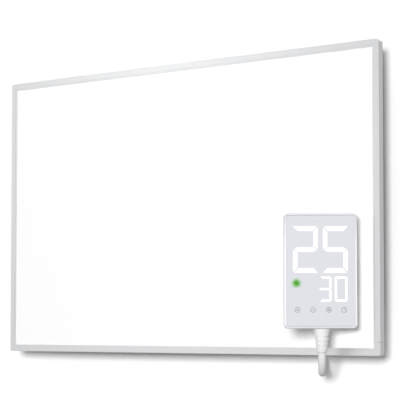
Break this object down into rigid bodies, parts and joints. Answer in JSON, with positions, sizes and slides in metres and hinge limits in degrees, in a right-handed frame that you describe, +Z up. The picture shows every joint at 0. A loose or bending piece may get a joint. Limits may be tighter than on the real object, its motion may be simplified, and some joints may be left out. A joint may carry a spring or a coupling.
{
  "type": "infrared panel heater",
  "caption": "Slim white infrared heating panel in an aluminium frame, hung on a wall rail, with a wired touch controller that swivels on a magnetic holder.",
  "frame": {"origin": "middle of the wall rail's flat back, on the wall plane", "axes": "+Z up, +Y into the wall, +X along the panel to the right as seen from the room; the heated front faces -Y"},
  "size_m": [0.6, 0.1461, 0.4274],
  "materials": {
    "anodised_aluminium": "fine satin anodised, with a sunk inner band",
    "white_coating": "white powder coating with a very fine grain",
    "zinc_steel": "galvanised sheet with a faint spangle",
    "screw_steel": "bright zinc-plated",
    "white_plastic": "moulded, fine spark-eroded texture",
    "face_grey": "back-printed pale lavender-grey touch panel, glossy",
    "soft_white": "soft flexible plastic, satin",
    "dark_rubber": "moulded rubber",
    "black_plastic": "moulded",
    "grey_plastic": "moulded polyamide",
    "copper": "rolled copper",
    "brass": "turned and plated",
    "carbon_film": "laminated heating film",
    "bright_foil": "bright foil",
    "wool_board": "pressed mineral wool",
    "board_green": "solder-masked circuit board",
    "lit_white": "white segments lit from behind",
    "lit_green": "green light, lit"
  },
  "bodies": {
    "wall_mount": {"wall_rail": "zinc_steel", "wall_screw_left": "screw_steel", "wall_screw_right": "screw_steel"},
    "panel": {"frame_profile": "anodised_aluminium", "frame_splice_key": "zinc_steel", "front_plate": "white_coating", "heating_mat": "carbon_film", "bus_bar_top": "copper", "bus_bar_bottom": "copper", "reflective_foil": "bright_foil", "insulation_board": "wool_board", "thermal_cutout": "black_plastic", "back_plate": "zinc_steel", "earth_screw": "brass", "hanger_bracket_left": "zinc_steel", "hanger_bracket_right": "zinc_steel", "hanger_rivet_left_1": "screw_steel", "hanger_rivet_left_2": "screw_steel", "hanger_rivet_right_1": "screw_steel", "hanger_rivet_right_2": "screw_steel", "wall_spacer_left": "white_plastic", "wall_spacer_right": "white_plastic", "spacer_pad_left": "dark_rubber", "spacer_pad_right": "dark_rubber", "terminal_box_base": "white_plastic", "terminal_box_lid": "white_plastic", "lid_screw_upper": "screw_steel", "lid_screw_lower": "screw_steel", "terminal_block": "black_plastic", "heater_lead_live": "copper", "heater_lead_neutral": "grey_plastic", "gland_body": "grey_plastic", "gland_cap": "grey_plastic", "gland_locknut": "grey_plastic", "mains_inlet": "black_plastic", "inlet_pin_live": "brass", "inlet_pin_neutral": "brass", "inlet_pin_earth": "brass", "cable_hook": "white_plastic", "cord_tie": "black_plastic", "holder_foot": "white_plastic", "holder_magnet": "screw_steel", "swivel_pin": "screw_steel", "cord_lead": "soft_white", "cord_coil": "soft_white", "cord_tail": "soft_white"},
    "controller": {"cradle": "white_plastic", "cradle_screw_upper": "screw_steel", "cradle_screw_lower": "screw_steel", "controller_back_shell": "white_plastic", "controller_front_shell": "white_plastic", "face_panel": "face_grey", "display_module": "lit_white", "status_led": "lit_green", "touch_strip": "copper", "controller_board": "board_green", "relay": "black_plastic", "power_module": "black_plastic", "room_sensor": "black_plastic", "cord_boot": "soft_white"}
  },
  "joints": [
    {"name": "panel_lift", "type": "slide", "parent": "wall_mount", "child": "panel", "axis": [0, 0, 1], "range_m": [0, 0.02]},
    {"name": "controller_swivel", "type": "hinge", "parent": "panel", "child": "controller", "pos_m": [0.225, -0.069, -0.2136], "axis": [0, 0, 1], "range_deg": [-66, 5], "deforming": ["cord_lead"]}
  ]
}
